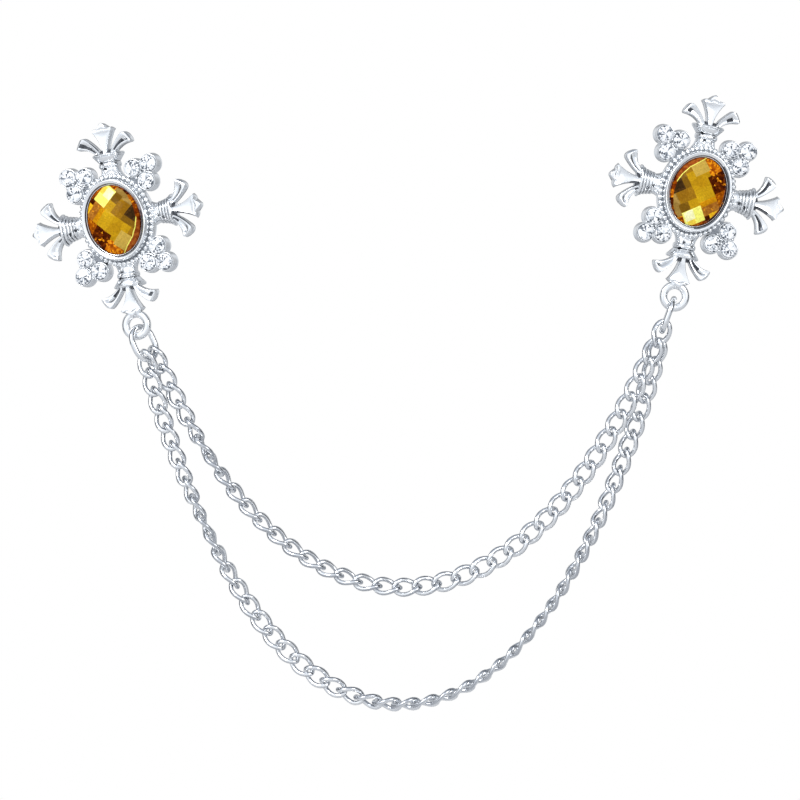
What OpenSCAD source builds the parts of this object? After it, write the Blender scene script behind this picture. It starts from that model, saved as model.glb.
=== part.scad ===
/* [Stones] */
// Half width of an oval stone
stone_rx = 3.9; // [3.7:0.05:3.95]
// Half height of an oval stone
stone_ry = 4.9; // [4.7:0.05:4.95]
// Height of an oval stone's dome above its edge
dome_h = 1.75; // [1.4:0.05:2]
// Radius of a small round stone
gem_r = 1.0; // [0.9:0.02:1]

/* [Castings] */
// Half width of the beaded border round a setting
border_rx = 5.2; // [5.1:0.05:5.4]
// Half height of the beaded border round a setting
border_ry = 6.3; // [6.2:0.05:6.5]
// Turn of the left brooch's setting in its casting, its top to the left
left_setting_turn = 5.5; // [0:0.5:8]
// Turn of the right brooch's setting in its casting, its top to the right
right_setting_turn = 8; // [0:0.5:10]
// Number of beads in a border
bead_count = 48; // [44:1:52]
// Length of an arm, from the border to the tip of its middle leaf
arm_len = 7.0; // [6.6:0.1:7.4]
// Width of an arm's middle leaf at its corners
leaf_w = 3.4; // [3.1:0.1:3.7]
// Width of the widest wrap that ties an arm
flange_w = 4.5; // [4:0.1:4.7]
// Radius of the hole in a hanging loop
loop_hole_r = 1.0; // [0.95:0.05:1.2]

/* [Pins] */
// Radius of a tack post
post_r = 0.55; // [0.45:0.05:0.7]
// Length of a tack post's straight stretch
post_len = 7; // [6:0.5:9]

/* [Hanging pose] */
// Lean of the left brooch, its top to the left
left_lean = 10; // [8:0.5:12]
// Turn of the left brooch towards the left
left_turn = 18; // [16:1:20]
// Lean of the right brooch, its top to the right
right_lean = 11.5; // [10:0.5:13]
// Turn of the right brooch towards the right
right_turn = 10; // [8:1:12]
// Distance across between the two brooches' seats
seat_gap = 77.6; // [76:0.2:79]
// Height of the right brooch's seat above the left one's
seat_rise = 3.8; // [2:0.2:5]

/* [Chains] */
// Outer length of a link
link_len = 4.1; // [4:0.05:4.2]
// Outer width of a link
link_w = 2.75; // [2.7:0.05:2.9]
// Thickness of a link's wire
link_wire = 0.54; // [0.5:0.02:0.56]
// Number of links in the short strand
short_links = 38; // [37:1:40]
// Spacing of the short strand's links
short_pitch = 2.69; // [2.65:0.01:2.7]
// Number of links in the long strand
long_links = 50; // [48:1:52]
// Spacing of the long strand's links
long_pitch = 2.57; // [2.5:0.01:2.65]

/* [Jump rings] */
// Outer length of a jump ring
ring_len = 5.4; // [5.2:0.1:5.6]
// Outer width of a jump ring
ring_w = 4.4; // [4.2:0.1:4.6]
// Thickness of a jump ring's wire
ring_wire = 0.8; // [0.7:0.05:0.85]

/* [Hidden] */
// Clearances: round set stones, between a jump ring and its loop, between an end link and its ring
gap = 0.05;
loop_gap = 0.25;
hook_gap = 0.5;

// Heights above the flat back of a casting
plate_h = 1.5;
cup_floor_h = 1.2;
rim_h = 3.0;
gem_seat_h = 1.35;
gem_wall_h = 1.8;
web_h = 1.25;
leaf_back_h = 0.35;

// Setting and border
oval_sides = 24;
rim_wall = 0.45;
rim_flare = 0.22;
bead_w = 0.52;
bead_h = 0.42;
bead_dip = 0.12;

// Arms: distances from the border along an arm
leaf_root = 2.7;
dome_steps = 5;

// Side leaves: an arc that starts beside the middle leaf and bends outward
side_root = 0.95;
side_len = 3.2;
side_heading = 60;
side_bend = 44;
leaf_draft = 0.25;
side_draft = 0.15;

// Small stones: centres of the three in one trefoil
gem_spots = [[3.5, 6.45], [5.85, 6.75], [5.2, 4.45]];
cup_sides = 8;
gem_hole_r = (gem_r + gap) / cos(180 / cup_sides);
gem_cup_r = gem_hole_r + 0.2;
gem_h = 0.8;
gem_girdle_h = 0.3;
gem_table_r = 0.55;

// Hanging loop behind the lowest leaf
loop_y = border_ry + 8.1;
loop_bar = 1.05;
loop_t = 1.0;

// Tack post
foot_r = 2.0;
foot_t = 0.4;
tip_len = 1.2;
tip_r = 0.12;

// Checkerboard cut of the oval stone: the cells' side, the grid's shift in cells, its turn in each brooch
cell = 2.2;
cell_shift = [-0.24, 0.34];
left_cell_turn = 45;
right_cell_turn = 215;
stone_base_h = cup_floor_h + gap;
stone_edge_h = 2.55;
stone_top_h = stone_edge_h + dome_h;

// Swing of the jump rings from the vertical, and their turn about their own length
left_swing = 24;
left_ring_turn = 42;
right_swing = -20.5;
right_ring_turn = 90;
ring_a = (ring_len - ring_wire) / 2;
ring_b = (ring_w - ring_wire) / 2;

// Links: half sizes of the wire's middle line, and the twist of a link's ends
link_a = (link_len - link_wire) / 2;
link_b = (link_w - link_wire) / 2;
link_twist = 45;
link_sides = 10;
wire_sides = 5;
hook = link_a - (ring_wire + link_wire) / 2 - hook_gap;

SILVER = "#d3d8de";
AMBER = "#d88a10";
CLEAR = "#e9f0f5";

// Placing: a brooch is drawn flat, back down, and stood up in its leaning and turned pose

module left_place() {
    rotate([0, -left_lean, -left_turn]) rotate([90, 0, 0]) children();
}

module right_place() {
    translate([seat_gap, 0, seat_rise])
        rotate([0, right_lean, right_turn]) rotate([90, 0, 0]) children();
}

function posed(p, lean, turn) =
    let (x = p[0] * cos(lean) + p[1] * sin(lean))
    let (z = p[1] * cos(lean) - p[0] * sin(lean))
    let (y = -p[2])
    [x * cos(turn) - y * sin(turn), x * sin(turn) + y * cos(turn), z];
function left_point(p) = posed(p, -left_lean, -left_turn);
function right_point(p) = posed(p, right_lean, right_turn) + [seat_gap, 0, seat_rise];

// Castings

function oval_points(rx, ry) =
    [for (i = [0:oval_sides - 1]) [rx * cos(360 * i / oval_sides), ry * sin(360 * i / oval_sides)]];

// A solid through rings of points that each turn to the left about the way from first to last
module loft(rings) {
    n = len(rings[0]);
    last = len(rings) - 1;
    sides = [
        for (k = [0:last - 1], j = [0:n - 1])
            let (j2 = (j + 1) % n)
            for (face = [[k * n + j, (k + 1) * n + j, (k + 1) * n + j2],
                         [k * n + j, (k + 1) * n + j2, k * n + j2]]) face
    ];
    first_cap = [for (j = [0:n - 1]) j];
    last_cap = [for (j = [n - 1:-1:0]) last * n + j];
    polyhedron(points = [for (ring = rings) each ring], faces = concat(sides, [first_cap, last_cap]));
}

// The plate under a setting: its edge is a row of beads that rise above it
module beaded_plate() {
    function ring(inset, dip, z, crest) = [
        for (i = [0:2 * bead_count - 1])
            let (turn = 180 * i / bead_count)
            let (low = i % 2)
            [(border_rx - inset - dip * low) * cos(turn),
             (border_ry - inset - dip * low) * sin(turn),
             z + crest * (1 - low)]
    ];
    loft([
        ring(0, bead_dip, 0, 0),
        ring(0.4 * bead_w, 0, plate_h, bead_h),
        ring(bead_w, 0, plate_h, 0)
    ]);
}

module setting() {
    grow = 1 / cos(180 / oval_sides);
    cup_rx = (stone_rx + gap) * grow;
    cup_ry = (stone_ry + gap) * grow;
    foot = rim_wall + rim_flare;
    taper = [1 - rim_flare / (cup_rx + foot), 1 - rim_flare / (cup_ry + foot)];
    difference() {
        union() {
            beaded_plate();
            translate([0, 0, cup_floor_h]) linear_extrude(rim_h - cup_floor_h, scale = taper)
                polygon(oval_points(cup_rx + foot, cup_ry + foot));
        }
        translate([0, 0, cup_floor_h]) linear_extrude(rim_h) polygon(oval_points(cup_rx, cup_ry));
    }
}

// Cups for three small stones, on a web that reaches the border
module trefoil() {
    difference() {
        union() {
            for (p = gem_spots) {
                translate(p) rotate([0, 0, 180 / cup_sides])
                    cylinder(h = gem_wall_h, r = gem_cup_r, $fn = cup_sides);
            }
            hull() {
                translate([3.5, 4.2, 0]) cylinder(h = web_h, r = 0.9, $fn = 4);
                translate([5.2, 6.1, 0]) cylinder(h = web_h, r = 0.6, $fn = 4);
            }
        }
        for (p = gem_spots) {
            translate([p[0], p[1], gem_seat_h]) rotate([0, 0, 180 / cup_sides])
                cylinder(h = gem_wall_h, r = gem_hole_r, $fn = cup_sides);
        }
    }
}

module hanging_loop() {
    outer = loop_hole_r + loop_bar;
    section = [
        [loop_hole_r, 0],
        [loop_hole_r, 0.7 * loop_t],
        [loop_hole_r + 0.4 * loop_bar, loop_t],
        [outer, 0.65 * loop_t],
        [outer, 0]
    ];
    translate([0, -loop_y, 0]) rotate_extrude($fn = 14) polygon(section);
}

// The short neck between the border and the wraps
module neck() {
    hull() {
        cylinder(h = 1.1, r = 1.65, $fn = 6);
        translate([0, 0.6, 0]) cylinder(h = 1.4, r = 1.2, $fn = 6);
    }
}

// Half round rings of the wraps: distance from the border, width, height
wraps = [
    [0.95, 0.60 * flange_w, 1.75],
    [1.25, 0.68 * flange_w, 1.98],
    [1.52, 0.60 * flange_w, 1.75],
    [1.84, 0.75 * flange_w, 2.12],
    [2.12, 0.64 * flange_w, 1.85],
    [2.20, 0.84 * flange_w, 2.08],
    [2.52, flange_w, 2.35],
    [2.85, 0.84 * flange_w, 2.12],
    [3.00, 0.46 * flange_w, 1.60]
];

module wraps() {
    loft([
        for (row = wraps)
            [for (i = [dome_steps:-1:0])
                [row[1] / 2 * cos(180 * i / dome_steps), row[0],
                 row[2] * sin(180 * i / dome_steps)]]
    ]);
}

// Middle leaf: share of its length, half width as a share of its widest, height of its front
middle_leaf = [
    [-0.05, 0.30, 1.70],
    [0.30, 0.34, 1.70],
    [0.56, 0.58, 1.62],
    [0.74, 0.88, 1.72],
    [0.79, 1.00, 1.82],
    [0.895, 0.36, 1.98],
    [0.95, 0.27, 1.90],
    [1.00, 0.10, 1.70]
];

module middle_leaf() {
    length = arm_len - leaf_root;
    loft([
        for (row = middle_leaf)
            let (half = row[1] * leaf_w / 2)
            let (along = leaf_root + row[0] * length)
            let (front = max(half - leaf_draft, half / 2))
            [[-half, along, leaf_back_h], [-front, along, row[2]], [front, along, row[2]],
             [half, along, leaf_back_h]]
    ]);
}

// Side leaf: share of its length, half width, height of its inner edge, height of its outer edge
side_leaf = [
    [-0.1, 0.36, 1.60, 1.60],
    [0.4, 0.46, 1.72, 1.60],
    [0.8, 0.76, 1.85, 1.65],
    [1.0, 0.94, 1.90, 1.75],
    [1.1, 0.40, 1.60, 1.55]
];

function side_point(share, offset, z) =
    let (heading = side_heading - side_bend * share)
    let (radius = side_len / side_bend * 180 / PI)
    [side_root + radius * (sin(side_heading) - sin(heading)) - offset * sin(heading),
     leaf_root + radius * (cos(heading) - cos(side_heading)) + offset * cos(heading),
     z];

module side_leaf() {
    loft([
        for (row = side_leaf)
            let (half = row[1])
            let (front = half - side_draft)
            [side_point(row[0], half, leaf_back_h), side_point(row[0], front, row[2]),
             side_point(row[0], -front, row[3]), side_point(row[0], -half, leaf_back_h)]
    ]);
}

module arm() {
    neck();
    wraps();
    middle_leaf();
    side_leaf();
    mirror([1, 0, 0]) side_leaf();
}

module casting(setting_turn) {
    rotate([0, 0, setting_turn]) setting();
    for (flip_x = [0, 1], flip_y = [0, 1]) {
        mirror([flip_x, 0, 0]) mirror([0, flip_y, 0]) trefoil();
    }
    for (quarter = [0:3]) {
        reach = quarter % 2 == 0 ? border_ry : border_rx;
        rotate([0, 0, 90 * quarter]) translate([0, reach, 0]) arm();
    }
    hanging_loop();
}

// Stones

// Middle of each cell of the checkerboard, in shares of the stone's half width and height
function cells(turn) = [
    for (i = [-2:2], j = [-2:2])
        let (across = cell * (i + cell_shift[0]), up = cell * (j + cell_shift[1]))
        let (u = (across * cos(turn) - up * sin(turn)) / stone_rx)
        let (v = (across * sin(turn) + up * cos(turn)) / stone_ry)
        if (norm([u, v]) < 1.2) [u, v]
];

// An oval stone turned with its setting, its checkerboard turned on its own
module oval_stone(setting_turn, cell_turn) {
    blank = [for (i = [0:47]) [stone_rx * cos(7.5 * i), stone_ry * sin(7.5 * i)]];
    rotate([0, 0, setting_turn]) difference() {
        translate([0, 0, stone_base_h]) linear_extrude(stone_top_h - stone_base_h) polygon(blank);
        for (c = cells(cell_turn - setting_turn)) {
            slope = 2 * dome_h * [c[0] / stone_rx, c[1] / stone_ry];
            drop = dome_h * (c * c + cell * cell / 2 / stone_rx / stone_ry);
            translate([c[0] * stone_rx, c[1] * stone_ry, stone_top_h - drop])
                rotate([0, atan(norm(slope)), atan2(slope[1], slope[0])])
                    translate([-8, -8, 0]) cube([16, 16, 6]);
        }
    }
}

module round_gem() {
    slant = atan((gem_h - gem_girdle_h) / (gem_r - gem_table_r));
    difference() {
        cylinder(h = gem_h, r = gem_r, $fn = 32);
        for (i = [0:7]) {
            rotate([0, 0, 45 * i]) translate([gem_table_r, 0, gem_h])
                rotate([0, slant, 0]) translate([-1, -2, 0]) cube([4, 4, 2]);
        }
    }
}

// The place of each small stone, four trefoils of three
gem_places = [
    for (flip_x = [1, -1], flip_y = [1, -1], p = gem_spots) [flip_x * p[0], flip_y * p[1]]
];

module gem(index) {
    p = gem_places[index - 1];
    translate([p[0], p[1], gem_seat_h + gap]) round_gem();
}

// Tack post behind a casting

module tack() {
    translate([0, 0, -gap]) mirror([0, 0, 1]) {
        cylinder(h = foot_t, r = foot_r, $fn = 48);
        translate([0, 0, foot_t]) cylinder(h = post_len, r = post_r, $fn = 32);
        translate([0, 0, foot_t + post_len]) cylinder(h = tip_len, r1 = post_r, r2 = tip_r, $fn = 32);
    }
}

// Jump rings

// Middle of a jump ring's wire where it lies in the hanging loop, on the flat casting
ring_seat = [0, -loop_y - loop_hole_r + ring_wire / 2 + loop_gap, loop_t / 2];

function ring_down(swing) = [sin(swing), 0, -cos(swing)];
function ring_across(swing, turn) = [cos(turn) * cos(swing), sin(turn), cos(turn) * sin(swing)];

// Point on the middle line of a ring's lower end, a distance across from its lowest
function ring_end(top, swing, turn, across) =
    let (arc_middle = top + (2 * ring_a - ring_b) * ring_down(swing))
    let (share = across / ring_b)
    arc_middle + ring_b * (sqrt(1 - share * share) * ring_down(swing) + share * ring_across(swing, turn));

module ring_shape() {
    straight = 2 * (ring_a - ring_b);
    for (end = [0, 1]) {
        rotate([0, 0, 180 * end]) translate([0, straight / 2, 0])
            rotate_extrude(angle = 180, $fn = 32) translate([ring_b, 0]) circle(d = ring_wire, $fn = 32);
    }
    for (side = [-1, 1]) {
        translate([side * ring_b, 0, 0]) rotate([90, 0, 0])
            cylinder(h = straight, d = ring_wire, center = true, $fn = 32);
    }
}

module ring_at(top, swing, turn) {
    translate(top + ring_a * ring_down(swing))
        rotate([0, -swing, 0]) rotate([0, 0, turn]) rotate([90, 0, 0]) ring_shape();
}

// Chains: each strand hangs in a catenary between the two jump rings

function sinh(x) = (exp(x) - exp(-x)) / 2;
function asinh(x) = ln(x + sqrt(x * x + 1));

// The catenary's size for a span and a slack length, found by halving
function hang_size(span, slack, low, high, steps) =
    let (middle = (low + high) / 2)
    steps == 0 ? middle
    : 2 * middle * sinh(span / 2 / middle) > slack ? hang_size(span, slack, middle, high, steps - 1)
    : hang_size(span, slack, low, middle, steps - 1);

function hang(from, to, length) =
    let (span = to[0] - from[0])
    let (rise = to[2] - from[2])
    let (size = hang_size(span, sqrt(length * length - rise * rise), 8, 80, 40))
    let (low_x = (from[0] + to[0]) / 2 - size * asinh(rise / (2 * size * sinh(span / 2 / size))))
    let (start = size * sinh((from[0] - low_x) / size))
    let (low_z = from[2] + size - sqrt(size * size + start * start))
    [size, low_x, low_z, start];

// Middle line of one link, as points in its own frame: along, across and out of the strand
function link_line(roll) = [
    for (k = [0:link_sides - 1])
        let (t = 360 * k / link_sides)
        let (tilt = roll + link_twist * cos(t))
        [link_a * cos(t), link_b * sin(t) * cos(tilt), link_b * sin(t) * sin(tilt)]
];

function unit(v) = v / norm(v);

// Corners of the wire round each point of a link's middle line
function link_corners(line) = [
    for (k = [0:link_sides - 1])
        let (before = line[(k + link_sides - 1) % link_sides])
        let (after = line[(k + 1) % link_sides])
        let (ahead = unit(after - before))
        let (out = unit(line[k] - (line[k] * ahead) * ahead))
        let (aside = cross(ahead, out))
        for (j = [0:wire_sides - 1])
            let (turn = 360 * j / wire_sides)
            line[k] + link_wire / 2 * (cos(turn) * out + sin(turn) * aside)
];

function link_faces(first) = [
    for (k = [0:link_sides - 1], j = [0:wire_sides - 1])
        let (k2 = (k + 1) % link_sides)
        let (j2 = (j + 1) % wire_sides)
        let (a = first + k * wire_sides + j)
        let (b = first + k * wire_sides + j2)
        let (c = first + k2 * wire_sides + j2)
        let (d = first + k2 * wire_sides + j)
        for (face = [[a, c, d], [a, b, c]]) face
];

// A strand between two anchors, its links' rolls, pushes and shifts read from tables
module strand(from, to, links, pitch, rolls, pushes, shifts) {
    length = (links - 1) * pitch + 2 * hook;
    curve = hang(from, to, length);
    size = curve[0];
    points = [
        for (i = [0:links - 1])
            let (share = (hook + i * pitch) / length)
            let (arc = curve[3] + share * length)
            let (along = [size, 0, arc] / norm([size, arc]))
            let (across = [-along[2], 0, along[0]])
            let (middle = [curve[1] + size * asinh(arc / size),
                           from[1] + share * (to[1] - from[1]) + lookup(share, pushes),
                           curve[2] - size + norm([size, arc])] + lookup(share, shifts) * across)
            for (p = link_corners(link_line(lookup(share, rolls))))
                middle + p[0] * along + p[1] * across + p[2] * [0, 1, 0]
    ];
    faces = [
        for (i = [0:links - 1])
            for (face = link_faces(i * link_sides * wire_sides)) face
    ];
    polyhedron(points = points, faces = faces, convexity = 10);
}

// Where the strands hold on to the jump rings, across each ring's lower end
left_top = left_point(ring_seat);
right_top = right_point(ring_seat);
hold = 0.84;
short_from = ring_end(left_top, left_swing, left_ring_turn, hold);
short_to = ring_end(right_top, right_swing, right_ring_turn, -hold);
long_from = ring_end(left_top, left_swing, left_ring_turn, -hold);
long_to = ring_end(right_top, right_swing, right_ring_turn, hold);

// Tables over a strand's length, from 0 at its left end to 1 at its right end.
// Roll turns a link about the strand, push moves it to the back, shift moves it across the strand.
// A strand winds one way only from left to right, so its links turn their faces and edges by turns
short_rolls = [
    [0, -14], [0.05, -30], [0.09, -46], [0.16, -98], [0.22, -124], [0.42, -130], [0.5, -150],
    [0.56, -172], [0.85, -174], [0.95, -177], [1, -206],
];
short_pushes = [[0, 0], [0.06, 0.1], [0.2, 0], [0.9, -0.25], [1, 0]];
short_shifts = [[0, 0], [0.04, 0.15], [0.2, 0], [0.95, 0.15], [1, 0]];
long_rolls = [
    [0, -14], [0.04, -30], [0.1, -40], [0.14, -58], [0.21, -102], [0.29, -152], [0.34, -174],
    [0.38, -186], [0.45, -240], [0.5, -256], [0.6, -264], [0.72, -280], [0.8, -302], [0.87, -330],
    [0.93, -350], [1, -386],
];
long_pushes = [[0, 0], [0.05, -0.1], [0.2, 0], [0.9, 0.25], [1, 0]];
long_shifts = [[0, 0], [0.04, -0.15], [0.2, 0], [0.95, -0.15], [1, 0]];

// Nodes

module left_brooch() {
    color(SILVER) left_place() casting(left_setting_turn);
}

module right_brooch() {
    color(SILVER) right_place() casting(-right_setting_turn);
}

module left_stone() {
    color(AMBER) left_place() oval_stone(left_setting_turn, left_cell_turn);
}

module right_stone() {
    color(AMBER) right_place() oval_stone(-right_setting_turn, right_cell_turn);
}

module left_pin() {
    color(SILVER) left_place() tack();
}

module right_pin() {
    color(SILVER) right_place() tack();
}

module left_ring() {
    color(SILVER) ring_at(left_top, left_swing, left_ring_turn);
}

module right_ring() {
    color(SILVER) ring_at(right_top, right_swing, right_ring_turn);
}

module left_gem(index) {
    color(CLEAR) left_place() gem(index);
}

module right_gem(index) {
    color(CLEAR) right_place() gem(index);
}

module chain_short() {
    color(SILVER)
        strand(short_from, short_to, short_links, short_pitch, short_rolls, short_pushes, short_shifts);
}

module chain_long() {
    color(SILVER)
        strand(long_from, long_to, long_links, long_pitch, long_rolls, long_pushes, long_shifts);
}

left_brooch();
right_brooch();
left_stone();
right_stone();
left_pin();
right_pin();
left_ring();
right_ring();
chain_short();
chain_long();
for (i = [1:12]) {
    left_gem(i);
    right_gem(i);
}
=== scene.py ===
"""Lapel chain: two cross brooches joined by two hanging curb chains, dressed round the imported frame.

Sizes are in millimetres until a shape becomes an object, which is in metres in the frame of the CAD.
"""

import random
from math import asinh, copysign, cos, hypot, pi, radians, sin, sinh, sqrt

import bmesh
import bpy
from mathutils import Matrix, Vector


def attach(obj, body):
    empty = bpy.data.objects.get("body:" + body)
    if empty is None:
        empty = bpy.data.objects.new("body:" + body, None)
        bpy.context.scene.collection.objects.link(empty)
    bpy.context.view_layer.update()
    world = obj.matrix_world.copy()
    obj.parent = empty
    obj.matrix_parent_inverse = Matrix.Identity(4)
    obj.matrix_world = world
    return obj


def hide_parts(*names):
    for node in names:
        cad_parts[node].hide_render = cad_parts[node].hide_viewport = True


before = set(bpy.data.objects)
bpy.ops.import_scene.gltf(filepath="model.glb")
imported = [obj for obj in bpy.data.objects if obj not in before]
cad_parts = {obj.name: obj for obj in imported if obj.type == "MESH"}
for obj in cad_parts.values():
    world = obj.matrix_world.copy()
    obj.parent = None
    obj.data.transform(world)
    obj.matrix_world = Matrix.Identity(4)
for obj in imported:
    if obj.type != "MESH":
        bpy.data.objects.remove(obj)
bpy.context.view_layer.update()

MM = 0.001
BODY = "root"

# Castings: a brooch is drawn flat, x right, y up, z forward of its flat back
STONE_RX, STONE_RY = 3.9, 4.9
DOME_H = 1.75
BORDER_RX, BORDER_RY = 5.2, 6.3
PLATE_H = 1.5
CUP_FLOOR_H = 1.2
# Turn of each setting in its casting
SETTING_TURN = {"left": 5.5, "right": -8}
BEAD_COUNT = 48
BEAD_R = 0.37
LEAF_ROOT = 2.7
LEAF_BACK_H = 0.35
LEAF_DRAFT = 0.25
SIDE_ROOT = 0.95
SIDE_LEN = 3.2
SIDE_HEADING = 60
SIDE_BEND = 44
SIDE_DRAFT = 0.13
GEM_SPOTS = ((3.5, 6.45), (5.85, 6.75), (5.2, 4.45))
GEM_SEAT_H = 1.35
GEM_H = 0.8
GEM_WALL_H = 1.8
LOOP_HOLE_R = 1.0
LOOP_BAR = 1.05
LOOP_T = 1.0
LOOP_Y = BORDER_RY + 8.1
GAP = 0.05

# Hanging pose: each brooch's lean in its own plane, its turn to one side, and its seat
LEAN = {"left": -10, "right": 11.5}
FACING = {"left": -18, "right": 10}
SEAT = {"left": (0, 0, 0), "right": (77.6, 0, 3.8)}

# Jump rings, with each one's swing and turn, and how far from its lowest point the strands hold it
RING_LEN, RING_W, RING_WIRE = 5.4, 4.4, 0.8
LOOP_GAP = 0.25
RING_POSE = {"left": (24, 42), "right": (-20.5, 90)}
RING_A = (RING_LEN - RING_WIRE) / 2
RING_B = (RING_W - RING_WIRE) / 2
HOLD = 0.84

# Links
LINK_LEN, LINK_W, LINK_WIRE = 4.1, 2.75, 0.54
LINK_TWIST = 45
HOOK_GAP = 0.5
LINK_A = (LINK_LEN - LINK_WIRE) / 2
LINK_B = (LINK_W - LINK_WIRE) / 2
HOOK = LINK_A - (RING_WIRE + LINK_WIRE) / 2 - HOOK_GAP
LINK_STEPS = 30
WIRE_STEPS = 10
WIRE_R = 0.315

# Strands: links, pitch, then tables of roll, push to the back and shift across, over the strand's length
SHORT = {
    "links": 38,
    "pitch": 2.69,
    "rolls": ((0, -14), (0.05, -30), (0.09, -46), (0.16, -98), (0.22, -124), (0.42, -130), (0.5, -150),
              (0.56, -172), (0.85, -174), (0.95, -177), (1, -206)),
    "pushes": ((0, 0), (0.06, 0.1), (0.2, 0), (0.9, -0.25), (1, 0)),
    "shifts": ((0, 0), (0.04, 0.15), (0.2, 0), (0.95, 0.15), (1, 0)),
}
LONG = {
    "links": 50,
    "pitch": 2.57,
    "rolls": ((0, -14), (0.04, -30), (0.1, -40), (0.14, -58), (0.21, -102), (0.29, -152), (0.34, -174),
              (0.38, -186), (0.45, -240), (0.5, -256), (0.6, -264), (0.72, -280), (0.8, -302), (0.87, -330),
              (0.93, -350), (1, -386)),
    "pushes": ((0, 0), (0.05, -0.1), (0.2, 0), (0.9, 0.25), (1, 0)),
    "shifts": ((0, 0), (0.04, -0.15), (0.2, 0), (0.95, -0.15), (1, 0)),
}


# Small helpers

def full_turn(steps):
    """Angles of equal steps round a circle."""
    return [2 * pi * i / steps for i in range(steps)]


def turned(angle, axis="Z"):
    """A turn in degrees, by itself about the flat casting's z axis."""
    return Matrix.Rotation(radians(angle), 4, axis)


# Place of each flat casting, which stands upright on its seat, leant and turned
PLACES = {side: Matrix.Translation(SEAT[side]) @ turned(FACING[side]) @ turned(LEAN[side], "Y") @ turned(90, "X")
          for side in SEAT}


def mirror(x=1, y=1):
    """A flip of the flat casting, where x or y is -1."""
    return Matrix.Diagonal((x, y, 1, 1))


def read_table(table, x):
    """Linear reading of a table of (x, value) rows."""
    for (x0, v0), (x1, v1) in zip(table, table[1:]):
        if x <= x1:
            return v0 + (v1 - v0) * max(0.0, (x - x0) / (x1 - x0))
    return table[-1][1]


def smooth_rows(rows, steps):
    """Rows between the given ones, on a smooth curve that doesn't overshoot them."""
    def slope(i, c):
        """Slope of column c at row i: level at the ends and at each turning point."""
        if i == 0 or i == len(rows) - 1:
            return 0.0
        before = (rows[i][c] - rows[i - 1][c]) / (rows[i][0] - rows[i - 1][0])
        after = (rows[i + 1][c] - rows[i][c]) / (rows[i + 1][0] - rows[i][0])
        return 0.0 if before * after <= 0 else 2 * before * after / (before + after)

    out = [tuple(rows[0])]
    for i in range(len(rows) - 1):
        a, b = rows[i], rows[i + 1]
        width = b[0] - a[0]
        for k in range(1, steps + 1):
            t = k / steps
            h00, h10 = 2 * t ** 3 - 3 * t ** 2 + 1, t ** 3 - 2 * t ** 2 + t
            h01, h11 = 3 * t ** 2 - 2 * t ** 3, t ** 3 - t ** 2
            out.append((a[0] + width * t, *(
                h00 * a[c] + h10 * width * slope(i, c) + h01 * b[c] + h11 * width * slope(i + 1, c)
                for c in range(1, len(a)))))
    return out


class Shape:
    """Points and faces in millimetres, gathered before they become one object."""

    def __init__(self):
        self.points = []
        self.faces = []
        self.tints = []

    def add(self, points, faces, place=None, tint=0):
        """Adds faces of one tint, or of a list of tints with one for each face."""
        first = len(self.points)
        flip = place is not None and place.determinant() < 0
        self.points += [place @ Vector(p) if place else Vector(p) for p in points]
        for index, face in enumerate(faces):
            face = [first + i for i in face]
            self.faces.append(face[::-1] if flip else face)
            self.tints.append(tint[index] if isinstance(tint, list) else tint)

    def make(self, name, materials, slot, node, smooth=True, sharp=None):
        """The shape's object. Its edges are smooth, up to the sharp angle in degrees where there is one."""
        mesh = bpy.data.meshes.new(name)
        mesh.from_pydata([tuple(p * MM) for p in self.points], [], self.faces)
        for material in materials:
            mesh.materials.append(material)
        for polygon, tint in zip(mesh.polygons, self.tints):
            polygon.material_index = tint
            polygon.use_smooth = smooth
        mesh.update()
        if sharp is not None:
            mesh.set_sharp_from_angle(angle=radians(sharp))
        add_piece(name, mesh, node)


def add_object(name, data):
    """A new object in the scene."""
    thing = bpy.data.objects.new(name, data)
    bpy.context.scene.collection.objects.link(thing)
    return thing


def add_piece(name, mesh, node):
    """The object of a mesh, which stands for a CAD node."""
    piece = add_object(name, mesh)
    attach(piece, BODY)
    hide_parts(node)


def loft(shape, rings, place=None, closed=False, tint=0, tint_at=None):
    """Skin through rings of points, of one tint or of tint_at(ring, point). Closed joins the last ring to the
    first, and otherwise both ends are capped."""
    n = len(rings[0])
    count = len(rings)
    faces, tints = [], []
    for k in range(count if closed else count - 1):
        k2 = (k + 1) % count
        for j in range(n):
            j2 = (j + 1) % n
            faces.append((k * n + j, k2 * n + j, k2 * n + j2, k * n + j2))
            tints.append(tint_at(k, j) if tint_at else tint)
    if not closed:
        faces.append(tuple(range(n)))
        faces.append(tuple((count - 1) * n + j for j in range(n - 1, -1, -1)))
        tints += [tint, tint]
    shape.add([p for ring in rings for p in ring], faces, place, tints)


# Parts of a casting

def oval_point(rx, ry, turn, out):
    """Point of an oval, moved outward along the oval's own normal."""
    c, s = cos(turn), sin(turn)
    normal = Vector((c / rx, s / ry)).normalized()
    return rx * c + out * normal.x, ry * s + out * normal.y


def oval_lathe(shape, place, rx, ry, profile, steps, tint_of):
    """A closed profile of (outward, height) carried round an oval. Tint_of gives the tint of an edge of the profile
    at an angle from -180 to 180 degrees."""
    rings = [[(*oval_point(rx, ry, -turn, out), z) for out, z in profile] for turn in full_turn(steps)]
    loft(shape, rings, place, closed=True,
         tint_at=lambda k, j: tint_of(j, (180 - 360 * k / steps) % 360 - 180))


# Most of a profile's edge that a rounded corner takes
CORNER_SHARE = 0.45


def rounded(profile, cut, steps):
    """The profile with each corner rounded off."""
    out = []
    n = len(profile)
    for i in range(n):
        p = Vector(profile[i])
        before = Vector(profile[i - 1]) - p
        after = Vector(profile[(i + 1) % n]) - p
        a = p + before.normalized() * min(cut, before.length * CORNER_SHARE)
        b = p + after.normalized() * min(cut, after.length * CORNER_SHARE)
        for k in range(steps + 1):
            t = k / steps
            out.append(tuple(a * (1 - t) ** 2 + p * 2 * t * (1 - t) + b * t ** 2))
    return out


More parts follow.
